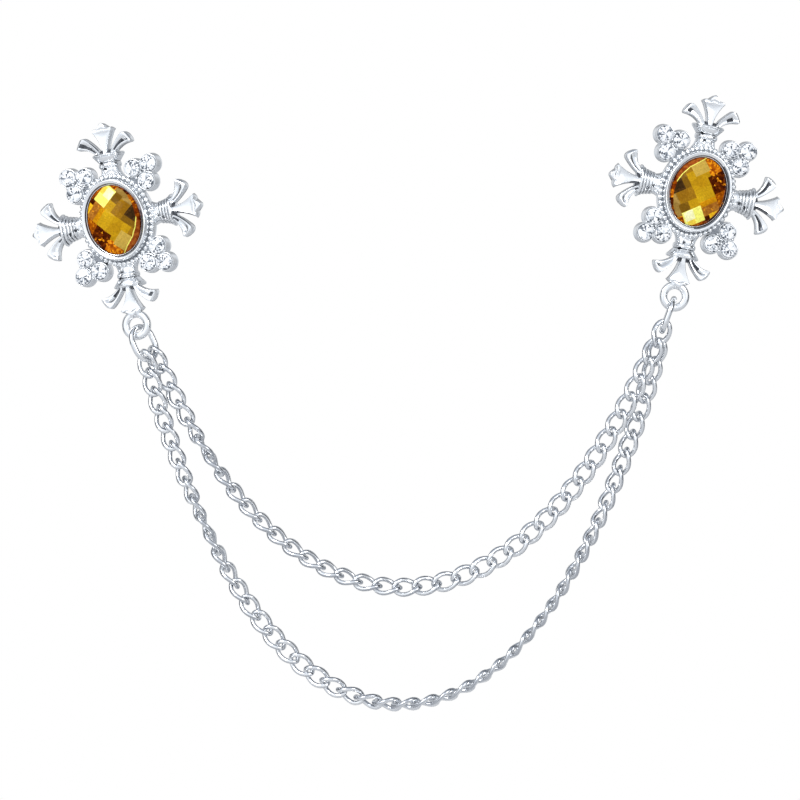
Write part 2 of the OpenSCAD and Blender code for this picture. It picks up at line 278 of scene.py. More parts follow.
# Tints of a casting: polished, painted shade in its deepest grooves, and dull with painted shade between its beads
BRIGHT, PAINTED_SHADE, DULL_SHADE = 0, 1, 2

# The plate's side and its bevel, up to the bed of the beads, as (outward from the border, height)
BEAD_BED_H = PLATE_H - 0.06
PLATE = ((-0.10, 0.0), (-0.02, 0.08), (-0.02, 1.15), (-0.08, 1.32), (-0.20, 1.42), (-0.9, BEAD_BED_H))
BEAD_INSET, BEAD_SQUASH = 0.27, 0.9
OVAL_STEPS = 128
# A setting's wall as (outward from the stone's edge, height): a thin lip, a groove and a broad band
BEZEL = (
    (-0.185, 1.25), (-0.185, 2.50), (-0.10, 2.60), (0.0, 2.62), (0.04, 2.45), (0.07, 2.88),
    (0.33, 2.96), (0.40, 3.0), (0.52, 3.0), (0.63, 2.86), (0.70, 2.40), (0.72, 1.25),
)
BEZEL_ROUND = 0.05
BEZEL_CORNER_STEPS = 3
LIP_CORNER = 1
GROOVE_EDGES = range(3 * (BEZEL_CORNER_STEPS + 1), 6 * (BEZEL_CORNER_STEPS + 1))


def ball(shape, centre, r, squash=1.0, rows=6, columns=10, place=None):
    """A round bead. A squash above 1 makes it higher than wide."""
    x, y, z = centre
    points = [(x, y, z - r * squash)]
    for i in range(1, rows):
        lat = pi * i / rows - pi / 2
        for lon in full_turn(columns):
            points.append((x + r * cos(lat) * cos(lon), y + r * cos(lat) * sin(lon),
                           z + r * squash * sin(lat)))
    points.append((x, y, z + r * squash))
    top = len(points) - 1
    faces = []
    for j in range(columns):
        j2 = (j + 1) % columns
        faces.append((0, 1 + j2, 1 + j))
        for i in range(rows - 2):
            a = 1 + i * columns
            b = a + columns
            faces.append((a + j, a + j2, b + j2, b + j))
        a = 1 + (rows - 2) * columns
        faces.append((a + j, a + j2, top))
    shape.add(points, faces, place)


def plate_and_setting(shape, place, shade_stretch):
    """The oval plate with its beads, and the bezel, whose groove has painted shade from one angle to another."""
    rings = [[(*oval_point(BORDER_RX, BORDER_RY, turn, out), z) for turn in full_turn(OVAL_STEPS)[::-1]]
             for out, z in PLATE]
    # The plate's top between the beads has dull painted shade
    loft(shape, rings, place, tint_at=lambda k, j: DULL_SHADE if k == len(PLATE) - 2 else BRIGHT)

    def tint(j, angle):
        """Tint of the bezel's edge j at an angle: painted shade on the lip and over the groove's stretch, dull painted
        shade elsewhere in the groove.
        """
        corner = j // (BEZEL_CORNER_STEPS + 1)
        if corner == LIP_CORNER or j in GROOVE_EDGES and shade_stretch[0] < angle < shade_stretch[1]:
            return PAINTED_SHADE
        return DULL_SHADE if j in GROOVE_EDGES[:-1] else BRIGHT

    profile = rounded(BEZEL, BEZEL_ROUND, BEZEL_CORNER_STEPS)
    oval_lathe(shape, place, STONE_RX, STONE_RY, profile, OVAL_STEPS, tint)
    for turn in full_turn(BEAD_COUNT):
        x, y = oval_point(BORDER_RX, BORDER_RY, turn, -BEAD_INSET)
        ball(shape, (x, y, BEAD_BED_H), BEAD_R, BEAD_SQUASH, place=place)


# A cup's wall and floor as (distance from its middle, height)
CUP = (
    (1.42, 0.0), (1.40, 0.5), (1.30, 1.50), (1.24, GEM_WALL_H), (1.14, GEM_WALL_H), (1.12, GEM_SEAT_H),
    (0.2, GEM_SEAT_H), (0.2, 0.0),
)
CUP_ROUND, CUP_CORNER_STEPS, CUP_STEPS = 0.05, 2, 36
# Prongs between two cups, on their outer and their inner side
PRONG_R, PRONG_SQUASH = 0.20, 1.2
PRONG_SIDES = (0.60, -0.38)
WEB = ((3.3, 6.75), (5.75, 7.15), (6.3, 6.75), (6.15, 6.3), (5.6, 4.6), (4.4, 3.3), (3.4, 3.35), (2.75, 4.75))
WEB_H = 1.55
WEB_TOP = 0.05
# Backs that overlap lie this far one above the other
BACK_STEP = 0.02


def trefoil(shape, place):
    """Three cups on a web, with prongs for their stones."""
    profile = rounded(CUP, CUP_ROUND, CUP_CORNER_STEPS)
    for index, (x, y) in enumerate(GEM_SPOTS, 1):
        rings = [[(x + r * cos(turn), y - r * sin(turn), max(z, BACK_STEP * index)) for r, z in profile]
                 for turn in full_turn(CUP_STEPS)]
        loft(shape, rings, place, closed=True)
    bottom = BACK_STEP * (len(GEM_SPOTS) + 1)
    # The web's top has dull painted shade
    for low, high, tint in ((bottom, WEB_H - WEB_TOP, BRIGHT), (WEB_H - WEB_TOP, WEB_H, DULL_SHADE)):
        loft(shape, [[(x, y, low) for x, y in WEB], [(x, y, high) for x, y in WEB]], place, tint=tint)
    middle = Vector((sum(p[0] for p in GEM_SPOTS) / 3, sum(p[1] for p in GEM_SPOTS) / 3))
    for i in range(3):
        a, b = Vector(GEM_SPOTS[i]), Vector(GEM_SPOTS[(i + 1) % 3])
        half = (a + b) / 2
        out = (half - middle).normalized()
        for side in PRONG_SIDES:
            spot = half + out * side
            ball(shape, (spot.x, spot.y, GEM_WALL_H), PRONG_R, PRONG_SQUASH, 5, 8, place)


LOOP_STEPS, LOOP_BAR_STEPS = 44, 16
# Below 1, the loop's bar is a little squarer than round
LOOP_SQUARE = 0.85


def hanging_loop(shape):
    """The cast loop below the lowest leaf."""
    mid = LOOP_HOLE_R + LOOP_BAR / 2
    rings = []
    for turn in full_turn(LOOP_STEPS):
        ring = []
        for a in full_turn(LOOP_BAR_STEPS):
            r = mid + LOOP_BAR / 2 * copysign(abs(cos(a)) ** LOOP_SQUARE, cos(a))
            z = LOOP_T / 2 + LOOP_T / 2 * copysign(abs(sin(a)) ** LOOP_SQUARE, sin(a))
            ring.append((r * cos(turn), -LOOP_Y + r * sin(turn), z))
        rings.append(ring)
    loft(shape, rings, closed=True)


# Arms: distance from the border, width, height, then a mark: a groove with painted shade all across, or at its lower
# end.
# Between rows the mark runs from one to the next, so each one counts from a share of it
ACROSS, LOWER = 1, 2
ACROSS_FROM, LOWER_FROM = 0.5, 1.4
NECK = (
    (-0.5, 3.6, 1.10, 0), (-0.1, 3.2, 1.25, 0), (0.25, 2.9, 1.42, 0), (0.6, 2.75, 1.52, 0), (1.1, 2.7, 1.5, 0),
)
# Upright arms: one broad band, a groove, then a skirt with a lip. Level arms: a row of fine ridges
SKIRT = (
    (0.80, 2.50, 1.44, 0), (0.90, 2.86, 1.68, 0), (1.02, 3.04, 1.84, 0), (1.20, 3.14, 1.94, 0), (1.42, 3.10, 1.90, 0),
    (1.54, 2.98, 1.76, 0), (1.60, 2.88, 1.60, ACROSS), (1.65, 2.94, 1.62, 0), (1.74, 3.14, 1.80, 0),
    (1.95, 3.44, 1.96, 0), (2.20, 3.86, 2.08, 0), (2.38, 4.18, 2.14, 0), (2.45, 4.24, 2.04, 0), (2.52, 4.40, 2.26, 0),
    (2.66, 4.50, 2.36, 0), (2.80, 4.34, 2.24, 0), (2.88, 3.90, 2.02, 0), (2.94, 2.80, 1.62, ACROSS),
    (3.30, 1.90, 1.40, ACROSS),
)
RIDGES = (
    (0.60, 2.50, 1.46, 0), (0.70, 2.86, 1.68, 0), (0.86, 3.06, 1.84, 0), (1.00, 3.04, 1.80, 0),
    (1.07, 2.94, 1.66, LOWER), (1.14, 3.08, 1.82, 0), (1.30, 3.24, 1.94, 0), (1.44, 3.22, 1.90, 0),
    (1.51, 3.10, 1.74, LOWER), (1.58, 3.28, 1.90, 0), (1.74, 3.46, 2.02, 0), (1.88, 3.44, 1.98, 0),
    (1.95, 3.34, 1.82, LOWER), (2.02, 3.52, 1.98, 0), (2.20, 3.84, 2.14, 0), (2.33, 3.92, 2.10, 0),
    (2.40, 3.88, 1.96, LOWER), (2.47, 4.10, 2.16, 0), (2.58, 4.36, 2.32, 0), (2.72, 4.40, 2.32, 0),
    (2.84, 4.10, 2.16, 0), (2.90, 3.60, 1.95, 0), (2.95, 2.80, 1.62, ACROSS), (3.30, 1.90, 1.40, ACROSS),
)
# The dome's section: 1 less the share across to the first power, all to the second, and least this high
DOME_FLAT, DOME_ROUND = 3.0, 0.5
DOME_SOLE = 0.02
# The seam where the wraps' ends meet: distance from the border, place across, depth
SEAM = (
    (-0.5, -0.45, 0.0), (0.25, -0.42, 0.0), (0.5, -0.38, 0.15), (0.8, -0.36, 0.42), (1.0, -0.50, 0.16),
    (1.35, -0.66, 0.06), (1.58, -0.80, 0.42), (1.8, -0.90, 0.16), (2.1, -0.98, 0.06), (2.6, -0.90, 0.0),
    (3.3, -0.6, 0.0),
)
SEAM_PLACE = [(along, across) for along, across, _ in SEAM]
SEAM_DEPTH = [(along, depth) for along, _, depth in SEAM]
# Half the seam's width, and how far from its middle the plain dome starts
SEAM_HALF = 0.22
SEAM_REACH = SEAM_HALF * 1.3
SEAM_SHAPE = ((-1.0, 0.0), (-0.45, 0.75), (0.0, 1.0), (0.45, 0.75), (1.0, 0.0))
SEAM_FIRST = 12
# Where the seam is deeper than this, it has painted shade
SEAM_SHADED_DEPTH = 0.28
# Points of a dome's section, from either edge, that count as its end
DOME_END = 9
# Middle leaf: distance from the border, half width of its back, height of its face, depth of its dish
MIDDLE_LEAF = (
    (2.45, 0.50, 1.64, 0.0), (3.0, 0.52, 1.70, 0.02), (3.6, 0.60, 1.70, 0.04), (4.3, 0.80, 1.66, 0.06),
    (5.0, 1.10, 1.66, 0.09), (5.6, 1.42, 1.72, 0.09), (5.95, 1.63, 1.77, 0.06), (6.06, 1.70, 1.76, 0.05),
    (6.12, 1.68, 1.66, 0.03), (6.20, 1.54, 1.72, 0.0), (6.34, 1.22, 1.79, 0.0), (6.48, 0.94, 1.81, 0.0),
    (6.60, 0.80, 1.80, 0.0), (6.74, 0.70, 1.78, 0.0), (6.87, 0.54, 1.74, 0.0), (6.96, 0.34, 1.68, 0.0),
    (7.0, 0.16, 1.60, 0.0),
)
# Its tip's lobes: half their depth, their width, and where they start and have come in full
LOBE_DEPTH, LOBE_WIDTH = 0.10, 1.25
LOBES_FROM, LOBES_FADE = 5.6, 0.7
LEAF_STEPS = 16
# A leaf's edges: size of their rounding and the most of the face's half width that it takes, then its shares across
# at the face, to either side, and at the back, which is widest a foot above
LEAF_ROUND, LEAF_ROUND_MOST = 0.07, 0.4
LEAF_OUTER, LEAF_SOLE = 0.4, 0.6
LEAF_FOOT = 0.1
# Least half width of the face, as a share of the back's
MIDDLE_LEAST, SIDE_LEAST = 0.45, 0.5
# Side leaf: share of its length, half width of its back, inner edge's height, outer rim's height, groove
SIDE_LEAF = (
    (-0.12, 0.36, 1.58, 1.58, 0.00), (0.10, 0.42, 1.66, 1.62, 0.10), (0.35, 0.52, 1.74, 1.66, 0.24),
    (0.60, 0.66, 1.80, 1.70, 0.36), (0.78, 0.80, 1.84, 1.72, 0.34), (0.88, 0.88, 1.86, 1.76, 0.20),
    (0.96, 0.91, 1.86, 1.80, 0.06), (1.01, 0.86, 1.82, 1.76, 0.0), (1.05, 0.74, 1.72, 1.68, 0.0),
    (1.08, 0.56, 1.56, 1.54, 0.0), (1.10, 0.36, 1.38, 1.38, 0.0),
)
SIDE_SLANT = 0.34
SLANT_FROM, SLANT_FADE = 0.4, 0.55
# Across a side leaf's face, from its inner edge to its outer one: place, share of the way to the rim, groove
SIDE_FACE = (
    (1.0, 0.0, 0.0), (0.8, 0.02, 0.0), (0.5, 0.10, 0.12), (0.2, 0.25, 0.35), (-0.1, 0.45, 0.65), (-0.32, 0.6, 1.0),
    (-0.42, 0.7, 0.95), (-0.58, 0.85, 0.35), (-0.68, 0.95, 0.04), (-0.82, 1.0, 0.0), (-1.0, 1.0, 0.06),
)
# Edges of its ring that lie in the groove and take painted shade. The face's first point is number 3 of the ring
SIDE_SHADED_EDGES = range(6, 10)
# Stretch of painted shade in each setting's groove, in degrees from the right
SETTING_SHADES = {"left": (-105, 5), "right": (-75, 60)}
# Stretch of painted shade in each side leaf's groove, in shares of its length: top, left, bottom and right arm, and in
# each arm the leaf clockwise of it, then the other
SIDE_SHADES = {
    "left": (((0.15, 0.75), (0.15, 0.98)), ((0.1, 0.6), (0.0, 0.25)), ((0.1, 0.5), (0.8, 0.98)), ((0.0, 0.35), (0, 0))),
    "right": (((0.5, 0.8), (0.75, 0.95)), ((0, 0), (0.0, 0.2)), ((0, 0), (0.1, 0.55)), ((0.2, 0.95), (0.15, 0.9))),
}
# The same painted shade for the flanks of each arm's middle leaf
FLANK_SHADES = {
    "left": (((0, 0), (0.3, 0.7)), ((0, 0), (0, 0.15)), ((0, 0), (0, 0)), ((0.05, 0.75), (0, 0.1))),
    "right": (((0, 0.3), (0, 0)), ((0, 0.1), (0, 0.35)), ((0, 0.2), (0.0, 0.6)), ((0.05, 0.55), (0, 0))),
}


def dome_ring(row, flip):
    """Half round section across an arm, flat at the back, with the seam's notch. Flip -1 mirrors the seam."""
    along, width, height, _ = row
    seam_x = read_table(SEAM_PLACE, along) * flip
    depth = read_table(SEAM_DEPTH, along)
    half = width / 2
    xs = [-half + (seam_x - SEAM_REACH + half) * (1 - cos(pi / 2 * k / SEAM_FIRST))
          for k in range(SEAM_FIRST)]
    xs += [seam_x + SEAM_HALF * place for place, _ in SEAM_SHAPE]
    rest = 2 * SEAM_FIRST
    xs += [half - (half - seam_x - SEAM_REACH) * (1 - cos(pi / 2 * (1 - k / rest)))
           for k in range(1, rest + 1)]
    dips = [0.0] * SEAM_FIRST + [depth * share for _, share in SEAM_SHAPE] + [0.0] * rest
    return [(x, along, max(DOME_SOLE if 0 < i < len(xs) - 1 else 0.0,
                           height * max(0.0, 1 - abs(x / half) ** DOME_FLAT) ** DOME_ROUND - dip))
            for i, (x, dip) in enumerate(zip(xs, dips))]


def dome_loft(shape, rows, flip, place, low):
    """The dome over rows. Low is the side, -1 or 1 in x, on which grooves marked as such get painted shade."""
    rows = smooth_rows(rows, 3)
    seam_columns = range(SEAM_FIRST, SEAM_FIRST + len(SEAM_SHAPE) - 1)
    last = len(dome_ring(rows[0], flip)) - 1

    def tint(k, j):
        """Tint of the face from row k and point j on."""
        deep = read_table(SEAM_DEPTH, rows[k][0]) > SEAM_SHADED_DEPTH
        from_low = j if low < 0 else last - j
        if rows[k][3] > LOWER_FROM:
            return PAINTED_SHADE if low and 1 < from_low < DOME_END else BRIGHT
        return PAINTED_SHADE if rows[k][3] > ACROSS_FROM or deep and j in seam_columns else BRIGHT

    loft(shape, [dome_ring(row, flip) for row in rows], place, tint_at=tint)


def scalloped(x, along):
    """Distance along a middle leaf, whose tip is drawn back between its three lobes."""
    share = min(1.0, max(0.0, (along - LOBES_FROM) / LOBES_FADE))
    return along - LOBE_DEPTH * share * (1 - cos(2 * pi * x / LOBE_WIDTH))


def middle_leaf(shape, place, shades):
    """The middle leaf. Shades are stretches of painted shade on its clockwise flank and its other one."""
    steps = LEAF_STEPS
    rings = []
    rows = smooth_rows(MIDDLE_LEAF, 3)
    for along, half, top, dish in rows:
        face = max(half - LEAF_DRAFT, half * MIDDLE_LEAST)
        edge = min(LEAF_ROUND, face * LEAF_ROUND_MOST)
        side, sole = face + edge * LEAF_OUTER, half - edge * LEAF_SOLE
        ring = [(-sole, along, LEAF_BACK_H), (-half, along, LEAF_BACK_H + LEAF_FOOT), (-side, along, top - edge)]
        for i in range(steps + 1):
            u = -1 + 2 * i / steps
            ring.append(((face - edge * LEAF_OUTER) * u, along, top - dish * (1 - u * u)))
        ring += [(side, along, top - edge), (half, along, LEAF_BACK_H + LEAF_FOOT), (sole, along, LEAF_BACK_H)]
        rings.append([(x, scalloped(x, y), z) for x, y, z in ring])
    first, last = rows[0][0], rows[-1][0]
    flanks = (1, 2, steps + 3, steps + 4)

    def tint(k, j):
        """Tint of the face from row k and point j on."""
        share = (rows[k][0] - first) / (last - first)
        low, high = shades[0] if j > steps else shades[1]
        return PAINTED_SHADE if j in flanks and low < share < high else BRIGHT

    loft(shape, rings, place, tint_at=tint)


def side_point(share, offset, z):
    """Point of a side leaf, whose end is cut aslant, longer on its outer side."""
    heading = radians(SIDE_HEADING - SIDE_BEND * share)
    start = radians(SIDE_HEADING)
    radius = SIDE_LEN / radians(SIDE_BEND)
    slip = -offset * SIDE_SLANT * min(1.0, max(0.0, (share - SLANT_FROM) / SLANT_FADE))
    return (SIDE_ROOT + radius * (sin(start) - sin(heading)) - offset * sin(heading)
            + slip * cos(heading),
            LEAF_ROOT + radius * (cos(heading) - cos(start)) + offset * cos(heading)
            + slip * sin(heading), z)


def side_leaf(shape, place, shade_stretch):
    """A side leaf, whose groove has painted shade from one share of its length to another."""
    rings = []
    rows = smooth_rows(SIDE_LEAF, 4)
    for share, half, inner, outer, groove in rows:
        face = max(half - SIDE_DRAFT, half * SIDE_LEAST)
        edge = min(LEAF_ROUND, face * LEAF_ROUND_MOST)
        side, sole = face + edge * LEAF_OUTER, half - edge * LEAF_SOLE
        ring = [(sole, LEAF_BACK_H), (half, LEAF_BACK_H + LEAF_FOOT), (side, inner - edge)]
        for u, way, dip in SIDE_FACE:
            ring.append(((face - edge * LEAF_OUTER) * u, inner + (outer - inner) * way - groove * dip))
        ring += [(-side, outer - edge), (-half, LEAF_BACK_H + LEAF_FOOT), (-sole, LEAF_BACK_H)]
        rings.append([side_point(share, offset, z) for offset, z in ring])
    loft(shape, rings, place,
         tint_at=lambda k, j: PAINTED_SHADE if j in SIDE_SHADED_EDGES and shade_stretch[0] <= rows[k][0] < shade_stretch[1] else BRIGHT)


def arm(shape, place, quarter, shades, flanks):
    """One arm: neck, wraps and three leaves. Quarters run from the top by the left."""
    flip = 1 if quarter < 2 else -1
    upright = quarter % 2 == 0
    low = 0 if upright else quarter - 2
    dome_loft(shape, NECK, flip, place, low)
    dome_loft(shape, SKIRT if upright else RIDGES, flip, place, low)
    middle_leaf(shape, place, flanks)
    side_leaf(shape, place, shades[0])
    side_leaf(shape, place @ mirror(x=-1), shades[1])


def casting(side):
    """A flat casting for the left or the right side."""
    shape = Shape()
    shades = SIDE_SHADES[side]
    plate_and_setting(shape, turned(SETTING_TURN[side]), SETTING_SHADES[side])
    for flip_x in (1, -1):
        for flip_y in (1, -1):
            trefoil(shape, mirror(flip_x, flip_y))
    for quarter in range(4):
        reach = BORDER_RY if quarter % 2 == 0 else BORDER_RX
        arm(shape, turned(90 * quarter) @ Matrix.Translation((0, reach, BACK_STEP)), quarter, shades[quarter],
            FLANK_SHADES[side][quarter])
    hanging_loop(shape)
    return shape


# Stones

# The checkerboard: width of its cells, their shift in cells, their turn, how many are tried to either side, and how
# far out the middle of one may lie, 1 at the stone's edge
CELL = 2.2
CELL_SHIFT = (-0.24, 0.34)
CELL_TURN = {"left": 45, "right": 215}
CELL_NUMBERS = range(-2, 3)
CELL_REACH = 1.2
STONE_SEED = {"left": 3, "right": 8}
STONE_EDGE_H = 2.55
STONE_TOP_H = STONE_EDGE_H + DOME_H
STONE_BASE_H = CUP_FLOOR_H + GAP
# What shows of the stone ends at the setting's lip
LIP_COVER = 0.2
SEEN_RX, SEEN_RY = STONE_RX - LIP_COVER, STONE_RY - LIP_COVER
DOME_CURVE = DOME_H / STONE_RY / STONE_RY
BLANK_SIDES = 64
GIRDLE_FACETS = 26
GIRDLE_SLOPE = 68
GIRDLE_DROP = 0.02
# Broad facets at one side of the rim, as number round it and width, and the painted highlight line along their top
BROAD = {22: 0.62, 23: 0.58, 24: 0.44, 25: 0.24}
BROAD_SLOPE = 48
HIGHLIGHT_LINE_WIDTH = 0.11
CUT_TOLERANCE = 1e-5


def stone_cells(turn):
    """Middles of the checkerboard's cells over the stone."""
    c, s = cos(radians(turn)), sin(radians(turn))
    out = []
    for i in CELL_NUMBERS:
        for j in CELL_NUMBERS:
            across, up = CELL * (i + CELL_SHIFT[0]), CELL * (j + CELL_SHIFT[1])
            x, y = across * c - up * s, across * s + up * c
            if hypot(x / STONE_RX, y / STONE_RY) < CELL_REACH:
                out.append((x, y))
    return out


def crown_height(p, turn):
    """Height of the checkerboard crown over a point."""
    return min(STONE_TOP_H - DOME_CURVE * (x * x + y * y + CELL * CELL / 2)
               - 2 * DOME_CURVE * (x * (p.x - x) + y * (p.y - y)) for x, y in stone_cells(turn))


def cell_place(x, y, turn):
    """A point's place on the checkerboard, in cells along and across it."""
    c, s = cos(radians(turn)), sin(radians(turn))
    return (x * c + y * s) / CELL - CELL_SHIFT[0], (y * c - x * s) / CELL - CELL_SHIFT[1]


def lean(out, slope):
    """Normal of a facet that leans outward by a slope in degrees."""
    return out * sin(radians(slope)) + Vector((0, 0, cos(radians(slope))))


def bisect(bm, spot, normal, **options):
    """Cuts all faces along a plane. With clear_outer, what lies beyond it goes."""
    whole = bm.verts[:] + bm.edges[:] + bm.faces[:]
    return bmesh.ops.bisect_plane(bm, geom=whole, plane_co=spot, plane_no=normal, dist=CUT_TOLERANCE, **options)


def oval_stone(name, place, turn, seed, node):
    """A domed blank cut by one plane to each cell and by small facets at its edge, then tinted in patches of the
    amber's colours with painted reflections and highlights.
    """
    rng = random.Random(seed)
    bm = bmesh.new()
    low, high = ([bm.verts.new((SEEN_RX * cos(a), SEEN_RY * sin(a), z)) for a in full_turn(BLANK_SIDES)]
                 for z in (STONE_BASE_H, STONE_TOP_H))
    bm.faces.new(low[::-1])
    bm.faces.new(high)
    for i in range(BLANK_SIDES):
        j = (i + 1) % BLANK_SIDES
        bm.faces.new((low[i], low[j], high[j], high[i]))
    for face in bm.faces:
        face.material_index = DEEP

    def cut(spot, normal, tint):
        """Takes off what lies beyond a plane, and closes the cut with one facet."""
        made = bisect(bm, spot, normal, clear_outer=True)
        rim = [e for e in made["geom_cut"] if isinstance(e, bmesh.types.BMEdge)]
        if len(rim) > 2:
            for face in bmesh.ops.edgeloop_fill(bm, edges=rim)["faces"]:
                face.material_index = tint

    for x, y in stone_cells(turn):
        normal = Vector((2 * DOME_CURVE * x, 2 * DOME_CURVE * y, 1)).normalized()
        drop = DOME_CURVE * (x * x + y * y + CELL * CELL / 2)
        cut(Vector((x, y, STONE_TOP_H - drop)), normal, CROWN)
    broad = []
    for k in range(GIRDLE_FACETS):
        a = radians(turn - CELL_TURN["left"] + 360 * (k + 0.5) / GIRDLE_FACETS)
        out = Vector((cos(a) / SEEN_RX, sin(a) / SEEN_RY, 0)).normalized()
        spot = Vector((SEEN_RX * cos(a), SEEN_RY * sin(a), STONE_EDGE_H - GIRDLE_DROP))
        tint = rng.choice((DEEP, DEEP, ORANGE, SHADOW))
        if k in BROAD:
            inner = spot - out * BROAD[k]
            spot = inner.copy()
            inner.z = crown_height(inner, turn)
            cut(inner, lean(out, BROAD_SLOPE), CROWN)
            broad.append((spot, out))
        else:
            cut(spot, lean(out, GIRDLE_SLOPE), tint)

    # The crown is split along the patches' edges, which lie along and across the checkerboard
    c, s = cos(radians(turn)), sin(radians(turn))
    for shift, first, normal in ((CELL_SHIFT[0], 0, Vector((c, s, 0))), (CELL_SHIFT[1], 2, Vector((-s, c, 0)))):
        for edge in sorted({value for row in PATCHES for value in row[first:first + 2]}):
            bisect(bm, normal * CELL * (edge + shift), normal)
    for spot, out in broad:
        for inset in (0, HIGHLIGHT_LINE_WIDTH):
            bisect(bm, spot - out * inset, out)
    bmesh.ops.recalc_face_normals(bm, faces=bm.faces[:])
    cells = bm.loops.layers.uv.new("cells")
    for face in bm.faces:
        middle = face.calc_center_median()
        along, up = cell_place(middle.x, middle.y, turn)
        if face.material_index == CROWN:
            inset = min((spot - middle).dot(Vector((out.x, out.y, 0))) for spot, out in broad)
            patch = next((row[4] for row in PATCHES if row[0] < along < row[1] and row[2] < up < row[3]), DEEP)
            # The broad facets, then the painted highlight line along their top, then each patch's tint
            face.material_index = RIM if inset < 0 else LEMON_HIGHLIGHT if inset < HIGHLIGHT_LINE_WIDTH else patch
        for corner in face.loops:
            corner[cells].uv = cell_place(corner.vert.co.x, corner.vert.co.y, turn)
    bm.transform(place)
    bm.transform(Matrix.Diagonal((MM, MM, MM, 1)))
    mesh = bpy.data.meshes.new(name)
    bm.to_mesh(mesh)
    bm.free()
    for material in AMBERS:
        mesh.materials.append(material)
    add_piece(name, mesh, node)


# A round stone's facets: rings of corners as (distance from its middle, height, turn in facets), and how many
# facets of the inner, middle and outer ring have each tint. The tints are painted reflections, from white to dark
WHITE, PALE, GREY, DARK = 0, 1, 2, 3
GEM_SIDES = 16
GEM_RINGS = ((0.62, GEM_H, 0.5), (0.88, 0.73, 0.0), (1.10, 0.58, 0.5))
GEM_TINTS = (
    {WHITE: 9, PALE: 2, GREY: 2, DARK: 3}, {WHITE: 8, PALE: 2, GREY: 2, DARK: 4}, {WHITE: 9, PALE: 3, GREY: 2, DARK: 2},
)


def round_gem(shape, place, rng):
    """A round brilliant's crown: three rings of facets round its middle, tinted with painted reflections, some of them
    dark.
    """
    n = GEM_SIDES
    points = [(r * cos(2 * pi * (i + shift) / n), r * sin(2 * pi * (i + shift) / n), z)
              for r, z, shift in GEM_RINGS for i in range(n)]
    points += [(x, y, 0.0) for x, y, _ in points[2 * n:]] + [(0, 0, GEM_H)]
    inner, middle, outer = ([tint for tint, count in counts.items() for _ in range(count)] for counts in GEM_TINTS)
    for tints in (inner, middle, outer):
        rng.shuffle(tints)
    facets, tints = [], []
    for i in range(n):
        j = (i + 1) % n
        facets += [(4 * n, i, j), (i, n + j, j), (i, n + i, n + j), (n + i, 2 * n + i, n + j),
                   (2 * n + i, 2 * n + j, n + j), (2 * n + i, 3 * n + i, 3 * n + j, 2 * n + j)]
        tints += [inner[i], middle[i], inner[i], outer[i], middle[i], PALE]
    shape.add(points, facets + [tuple(range(4 * n - 1, 3 * n - 1, -1))], place, tints + [PALE])


# Chains

def ring_down(swing):
    """The way down along a ring."""
    a = radians(swing)
    return Vector((sin(a), 0, -cos(a)))


def ring_across(swing, turn):
    """The way across a ring."""
    s, t = radians(swing), radians(turn)
    return Vector((cos(t) * cos(s), sin(t), cos(t) * sin(s)))


def ring_end(top, swing, turn, across):
    """Point on the middle line of a ring's lower end, a distance across from its lowest."""
    share = across / RING_B
    middle = top + (2 * RING_A - RING_B) * ring_down(swing)
    return middle + RING_B * (sqrt(1 - share * share) * ring_down(swing) + share * ring_across(swing, turn))


# Limits of a catenary's size, and how often they are halved to find it
CURVE_SIZES, CURVE_ROUNDS = (8.0, 80.0), 40


def hang(start, end, length):
    """Size, lowest x, lowest z and starting arc of the catenary of this length between two points."""
    span, rise = end.x - start.x, end.z - start.z
    slack = sqrt(length * length - rise * rise)
    low, high = CURVE_SIZES
    for _ in range(CURVE_ROUNDS):
        size = (low + high) / 2
        if 2 * size * sinh(span / 2 / size) > slack:
            low = size
        else:
            high = size
    size = (low + high) / 2
    low_x = (start.x + end.x) / 2 - size * asinh(rise / (2 * size * sinh(span / 2 / size)))
    arc = size * sinh((start.x - low_x) / size)
    return size, low_x, start.z + size - hypot(size, arc), arc


# Tints of a link: polished, and painted shade along the inner and outer edges of its wire
POLISHED, EDGE_SHADED = 0, 1
LINK_EDGES = (0, 4, 5, 9)


def link(shape, middle, along, across, roll):
    """A twisted oval link, rolled about the strand."""
    out = Vector((0, 1, 0))
    line = []
    for t in full_turn(LINK_STEPS):
        tilt = radians(roll + LINK_TWIST * cos(t))
        side = LINK_B * sin(t)
        line.append(along * (LINK_A * cos(t)) + across * (side * cos(tilt)) + out * (side * sin(tilt)))
    rings = []
    for k, p in enumerate(line):
        ahead = (line[(k + 1) % LINK_STEPS] - line[k - 1]).normalized()
        away = (p - p.dot(ahead) * ahead).normalized()
        aside = ahead.cross(away)
        rings.append([middle + p + WIRE_R * (cos(a) * away - sin(a) * aside) for a in full_turn(WIRE_STEPS)])
    loft(shape, rings, closed=True, tint_at=lambda k, j: EDGE_SHADED if j in LINK_EDGES else POLISHED)


def strand(name, start, end, table, node):
    """The links of a strand, evenly spaced on its curve."""
    length = (table["links"] - 1) * table["pitch"] + 2 * HOOK
    size, low_x, low_z, arc_start = hang(start, end, length)
    shape = Shape()
    for i in range(table["links"]):
        share = (HOOK + i * table["pitch"]) / length
        arc = arc_start + share * length
        along = Vector((size, 0, arc)).normalized()
        across = Vector((-along.z, 0, along.x))
        middle = Vector((low_x + size * asinh(arc / size),
                         start.y + share * (end.y - start.y) + read_table(table["pushes"], share),
                         low_z - size + hypot(size, arc)))
        middle += read_table(table["shifts"], share) * across
        link(shape, middle, along, across, read_table(table["rolls"], share))
    shape.make(name, [WIRE, EDGE_SHADE], "chain_metal", node)


# Materials

def feed(tree, node, inputs):
    """Gives each input of a node its value, or the socket that it is linked to."""
    for socket, source in inputs.items():
        if isinstance(source, bpy.types.NodeSocket):
            tree.links.new(source, node.inputs[socket])
        else:
            node.inputs[socket].default_value = source


